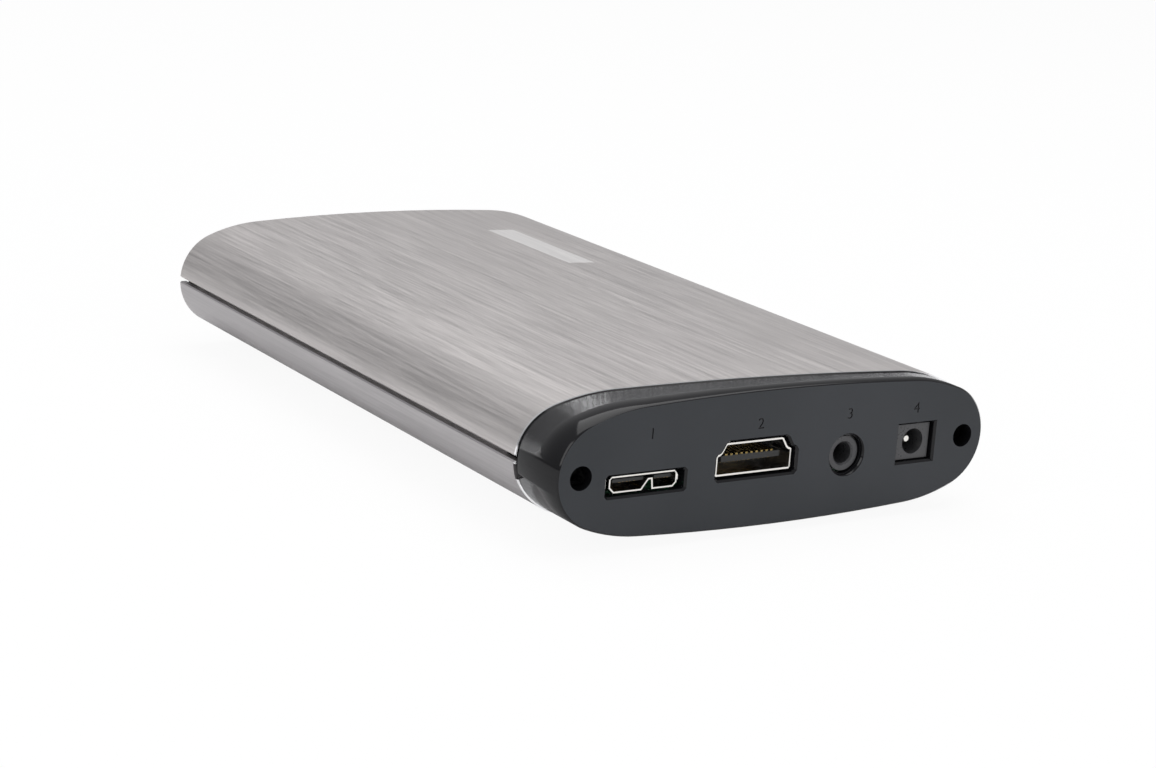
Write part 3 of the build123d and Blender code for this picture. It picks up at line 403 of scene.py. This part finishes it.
# ---- small pieces --------------------------------------------------------------------
class Boxes:
    """Boxes, prisms and rings gathered into one mesh."""

    def __init__(self):
        self.verts, self.faces = [], []

    def prism(self, points, low, high, up=(0, 0, 1)):
        """Polygon given by points at low, raised to high along up."""
        lift = Vector(up) * (high - low) * MM
        first, count = len(self.verts), len(points)
        self.verts += [tuple(p) for p in points] + [tuple(p + lift) for p in points]
        self.faces.append(tuple(range(first + count - 1, first - 1, -1)))
        self.faces.append(tuple(range(first + count, first + 2 * count)))
        for i in range(count):
            j = (i + 1) % count
            self.faces.append((first + i, first + j, first + count + j, first + count + i))

    def box(self, x, depth, rise):
        """Box between pairs of x, depth and rise."""
        corners = ((x[0], depth[0]), (x[1], depth[0]), (x[1], depth[1]), (x[0], depth[1]))
        self.prism([at(cx, cd, rise[0]) for cx, cd in corners], rise[0], rise[1])

    def ring(self, centre, profile, steps=96):
        """Upright ring about centre; profile is a list of (radius, rise) in mm, closed."""
        first, count = len(self.verts), len(profile)
        for i in range(steps):
            turn = 2 * math.pi * i / steps
            for radius, rise in profile:
                offset = Vector((radius * math.cos(turn), radius * math.sin(turn), rise)) * MM
                self.verts.append(tuple(centre + offset))
        for i in range(steps):
            for j in range(count):
                a, b = first + i * count, first + (i + 1) % steps * count
                k = (j + 1) % count
                self.faces.append((a + j, b + j, b + k, a + k))

    def make(self, name, look, body, slot):
        """The piece itself, riding on a body."""
        mesh = bpy.data.meshes.new(name)
        mesh.from_pydata(self.verts, [], self.faces)
        mesh.update()
        made = place(mesh, name)
        mesh.materials.append(look.mat)
        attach(made, body)


def cross(boxes, centre, axis, side, reach=1.0, arm=0.28, thick=0.03):
    """Cross recess on a screw head: centre, outward axis, one side direction."""
    a, b = Vector(side), Vector(axis).cross(Vector(side))
    plan = ((-arm, -reach), (arm, -reach), (arm, -arm), (reach, -arm), (reach, arm), (arm, arm),
            (arm, reach), (-arm, reach), (-arm, arm), (-reach, arm), (-reach, -arm), (-arm, -arm))
    boxes.prism([centre + (a * u + b * v) * MM for u, v in plan], 0, thick, axis)


def crosses():
    """Cross recesses of all screws in sight."""
    for name, x in (("left", -SHELL_SCREW_X), ("right", SHELL_SCREW_X)):
        one = Boxes()
        cross(one, at(x, CAP_SCREW_HEAD, 0), (0, -1, 0), (1, 0, 0))
        one.make(f"cap_screw_cross_{name}", socket_black, f"{name}_screw", "dark_plastic")
    far, board, lid = Boxes(), Boxes(), Boxes()
    for side in (-1, 1):
        cross(far, at(side * SHELL_SCREW_X, END_SCREW_HEAD, 0), (0, 1, 0), (1, 0, 0), 1.1)
        for depth in BOARD_SCREW_DEPTHS:
            head = at(side * BOARD_SCREW_X, depth, BOARD_TOP + BOARD_SCREW_HEAD)
            cross(board, head, (0, 0, 1), (1, 0, 0))
        for depth in (DRIVE_START + COVER_SCREW_INSET, DRIVE_END - COVER_SCREW_INSET):
            cross(lid, at(side * COVER_SCREW_X, depth, DRIVE_TOP), (0, 0, 1), (1, 0, 0), 0.9, 0.25, 0.02)
    far.make("end_screw_crosses", socket_black, "housing", "dark_plastic")
    board.make("board_screw_crosses", socket_black, "tray", "dark_plastic")
    lid.make("cover_screw_crosses", socket_black, "hard_drive", "dark_plastic")


def cover_beads():
    """Raised rings pressed into the drive's cover, about the disks and the hub."""
    bead, centre = Boxes(), at(0, SPINDLE, DRIVE_TOP)
    bead.ring(centre, ((28.6, 0.0), (30.2, 0.0), (29.8, 0.14), (29.0, 0.14)))
    bead.ring(centre, ((4.6, 0.0), (5.6, 0.0), (5.4, 0.12), (4.8, 0.12)), 48)
    bead.make("cover_beads", looks["drive_cover"], "hard_drive", "stamped_steel")


def small_parts(name, base, up, keep_out, span, count):
    """Resistors and capacitors scattered over a board, clear of keep_out: (x, x, depth, depth)."""
    bodies, ends, taken = Boxes(), Boxes(), list(keep_out)
    tries = 0
    while count and tries < 4000:
        tries += 1
        long, short, tall = rnd.choice(((1.6, 0.8, 0.45), (1.0, 0.5, 0.35), (2.0, 1.25, 0.6)))
        lies_across = rnd.random() < 0.5
        wide, deep = (long, short) if lies_across else (short, long)
        x = round(rnd.uniform(*span[0]) * 2) / 2
        d = round(rnd.uniform(*span[1]) * 2) / 2
        spot = (x - wide / 2 - ROOM, x + wide / 2 + ROOM, d - deep / 2 - ROOM, d + deep / 2 + ROOM)
        if any(spot[0] < t[1] and spot[1] > t[0] and spot[2] < t[3] and spot[3] > t[2] for t in taken):
            continue
        taken.append(spot)
        count -= 1
        rise = (base, base + tall) if up else (base - tall, base)
        end, hx, hd = END_SHARE * long, wide / 2, deep / 2
        if lies_across:
            bodies.box((x - hx + end, x + hx - end), (d - hd, d + hd), rise)
            ends.box((x - hx, x - hx + end), (d - hd, d + hd), rise)
            ends.box((x + hx - end, x + hx), (d - hd, d + hd), rise)
        else:
            bodies.box((x - hx, x + hx), (d - hd + end, d + hd - end), rise)
            ends.box((x - hx, x + hx), (d - hd, d - hd + end), rise)
            ends.box((x - hx, x + hx), (d + hd - end, d + hd), rise)
    bodies.make(f"{name}_bodies", chip_body, "tray", "chip_black")
    ends.make(f"{name}_ends", zinc, "tray", "bright_screw")


chip_body = grained("chip_part_body", (0.16, 0.12, 0.09), 0.5, spread=0.5, size=400)
crosses()
cover_beads()
small_parts("board_parts_top", BOARD_TOP, True, (
    (-27, -14, 11, 21.5), (11.5, 19.5, 15.6, 23.6), (27.5, 32.5, 15.1, 20.1), (22.7, 27.7, 14.5, 19.5),
    (-9.8, -0.5, 13.8, 17.8), (-34, -28, 10.6, 16.6), (0.4, 6.4, 13.6, 19.6), (7, 11, 17, 22.8),
    (-31, -26.6, 17, 22.8), (-33, -19, 0, 8.6), (-12.8, 3.4, 0, 13.6), (9.4, 17.9, 0, 13.6),
    (24.3, 32.2, 0, 12.6), (-35, -30.6, 17.5, 31.2), (30.6, 35, 17.5, 31.2), (-21.6, 21.6, 24.2, 32),
), ((-33.5, 33.5), (3.6, 30.4)), 70)
small_parts("board_parts_under", BOARD_BOTTOM, False, (
    (-10.6, 10.6, 5.9, 27.1), (-27, -17, 15.5, 25.5), (17, 27, 15.5, 25.5), (-13.6, -3.4, 26.6, 32),
    (-35, -27, 9.4, 20), (27, 35, 9.4, 20), (-35, -31.4, 15, 32), (31.4, 35, 15, 32),
    (-34, -18, 0, 8.6), (-13, 4, 0, 14),
), ((-33.5, 33.5), (3.6, 30.0)), 60)

# ---- stage ---------------------------------------------------------------------------
world = bpy.data.worlds.new("studio")
bpy.context.scene.world = world
world.use_nodes = True
wt = world.node_tree
wt.nodes.clear()


def background(strength, color):
    made = add_node(wt, "Background")
    made.inputs["Strength"].default_value = strength
    if hasattr(color, "node"):
        wt.links.new(color, made.inputs["Color"])
    else:
        made.inputs["Color"].default_value = color
    return made.outputs[0]


# plain white for the camera, a soft grey room for the light and the reflections
split = add_node(wt, "SeparateXYZ")
wt.links.new(add_node(wt, "TexCoord").outputs["Generated"], split.inputs[0])
sky = add_node(wt, "ValToRGB")
wt.links.new(split.outputs[2], sky.inputs[0])
for stop, position, color in zip(sky.color_ramp.elements, (0.0, 0.75),
                                 ((0.55, 0.55, 0.56, 1), (0.95, 0.95, 0.97, 1))):
    stop.position, stop.color = position, color
blend = add_node(wt, "MixShader")
wt.links.new(add_node(wt, "LightPath").outputs["Is Camera Ray"], blend.inputs[0])
wt.links.new(background(0.55, sky.outputs[0]), blend.inputs[1])
wt.links.new(background(1.0, (1, 1, 1, 1)), blend.inputs[2])
wt.links.new(blend.outputs[0], add_node(wt, "OutputWorld").inputs[0])

bpy.ops.mesh.primitive_plane_add(size=6, location=(0, 0, -0.0002))
floor = bpy.context.object
floor.name = "floor"
fm = Mat("floor_paper", (0.9, 0.9, 0.9), 0.0, 0.9)
fm.put("Base Color", fm.mix(fm.noise(size=60, detail=3), (0.88, 0.88, 0.88), (0.92, 0.92, 0.92)))
floor.data.materials.append(fm.mat)
white = fm.node("Emission")
white.inputs["Color"].default_value = (1, 1, 1, 1)
white.inputs["Strength"].default_value = 1.0
rays = fm.node("LightPath")
share = fm.times(rays.outputs["Is Camera Ray"], 0.93)
both = fm.node("MixShader")
fm.link(both.inputs[0], share)
fm.link(both.inputs[1], fm.bsdf.outputs[0])
fm.link(both.inputs[2], white.outputs[0])
fm.link(fm.tree.nodes["Material Output"].inputs["Surface"], both.outputs[0])


def lamp(name, position, target, size, power):
    data = bpy.data.lights.new(name, "AREA")
    data.shape = "RECTANGLE"
    data.size, data.size_y = size
    data.energy = power
    made = place(data, name)
    made.location = position
    made.rotation_mode = "QUATERNION"
    made.rotation_quaternion = (Vector(target) - Vector(position)).to_track_quat("-Z", "Y")


lamp("top_softbox", (0.1, 0.1, 0.9), (0, 0, 0.01), (0.9, 0.9), 5.0)
lamp("left_softbox", (-0.8, -0.25, 0.45), (0, 0, 0.01), (0.5, 0.7), 2.6)
lamp("front_softbox", (0.35, -0.9, 0.35), (0, -0.05, 0.01), (0.7, 0.4), 2.2)

# ---- camera --------------------------------------------------------------------------
# found by a fit to edge points; the origin is on the port face, at the height of the screws
YAW, PITCH, ROLL = (math.radians(v) for v in (33.188, 14.669, 4.197))
FOCAL_PX, PHOTO_WIDTH, SENSOR = 2614.5, 1156, 36.0
OFFSET_PX = (2.30, 0.83)
TO_CAMERA = (32.448, 11.525, 423.456)                # mm right, up and ahead
ahead = Vector((math.sin(YAW) * math.cos(PITCH), math.cos(YAW) * math.cos(PITCH), -math.sin(PITCH)))
level = Vector((math.cos(YAW), -math.sin(YAW), 0))
lift = level.cross(ahead)
right = level * math.cos(ROLL) + lift * math.sin(ROLL)
up = lift * math.cos(ROLL) - level * math.sin(ROLL)
eye = -TO_CAMERA[0] * right + TO_CAMERA[1] * up - TO_CAMERA[2] * ahead
camera_data = bpy.data.cameras.new("camera")
camera = place(camera_data, "camera")
camera.matrix_world = Matrix((
    (right.x, up.x, -ahead.x, eye.x * MM),
    (right.y, up.y, -ahead.y, eye.y * MM + FACE),
    (right.z, up.z, -ahead.z, eye.z * MM + AXIS),
    (0, 0, 0, 1),
))
camera_data.sensor_width = SENSOR
camera_data.lens = FOCAL_PX * SENSOR / PHOTO_WIDTH
camera_data.shift_x = -OFFSET_PX[0] / PHOTO_WIDTH
camera_data.shift_y = OFFSET_PX[1] / PHOTO_WIDTH
camera_data.clip_start, camera_data.clip_end = 0.01, 20
bpy.context.scene.camera = camera
bpy.context.scene.view_settings.view_transform = "Standard"
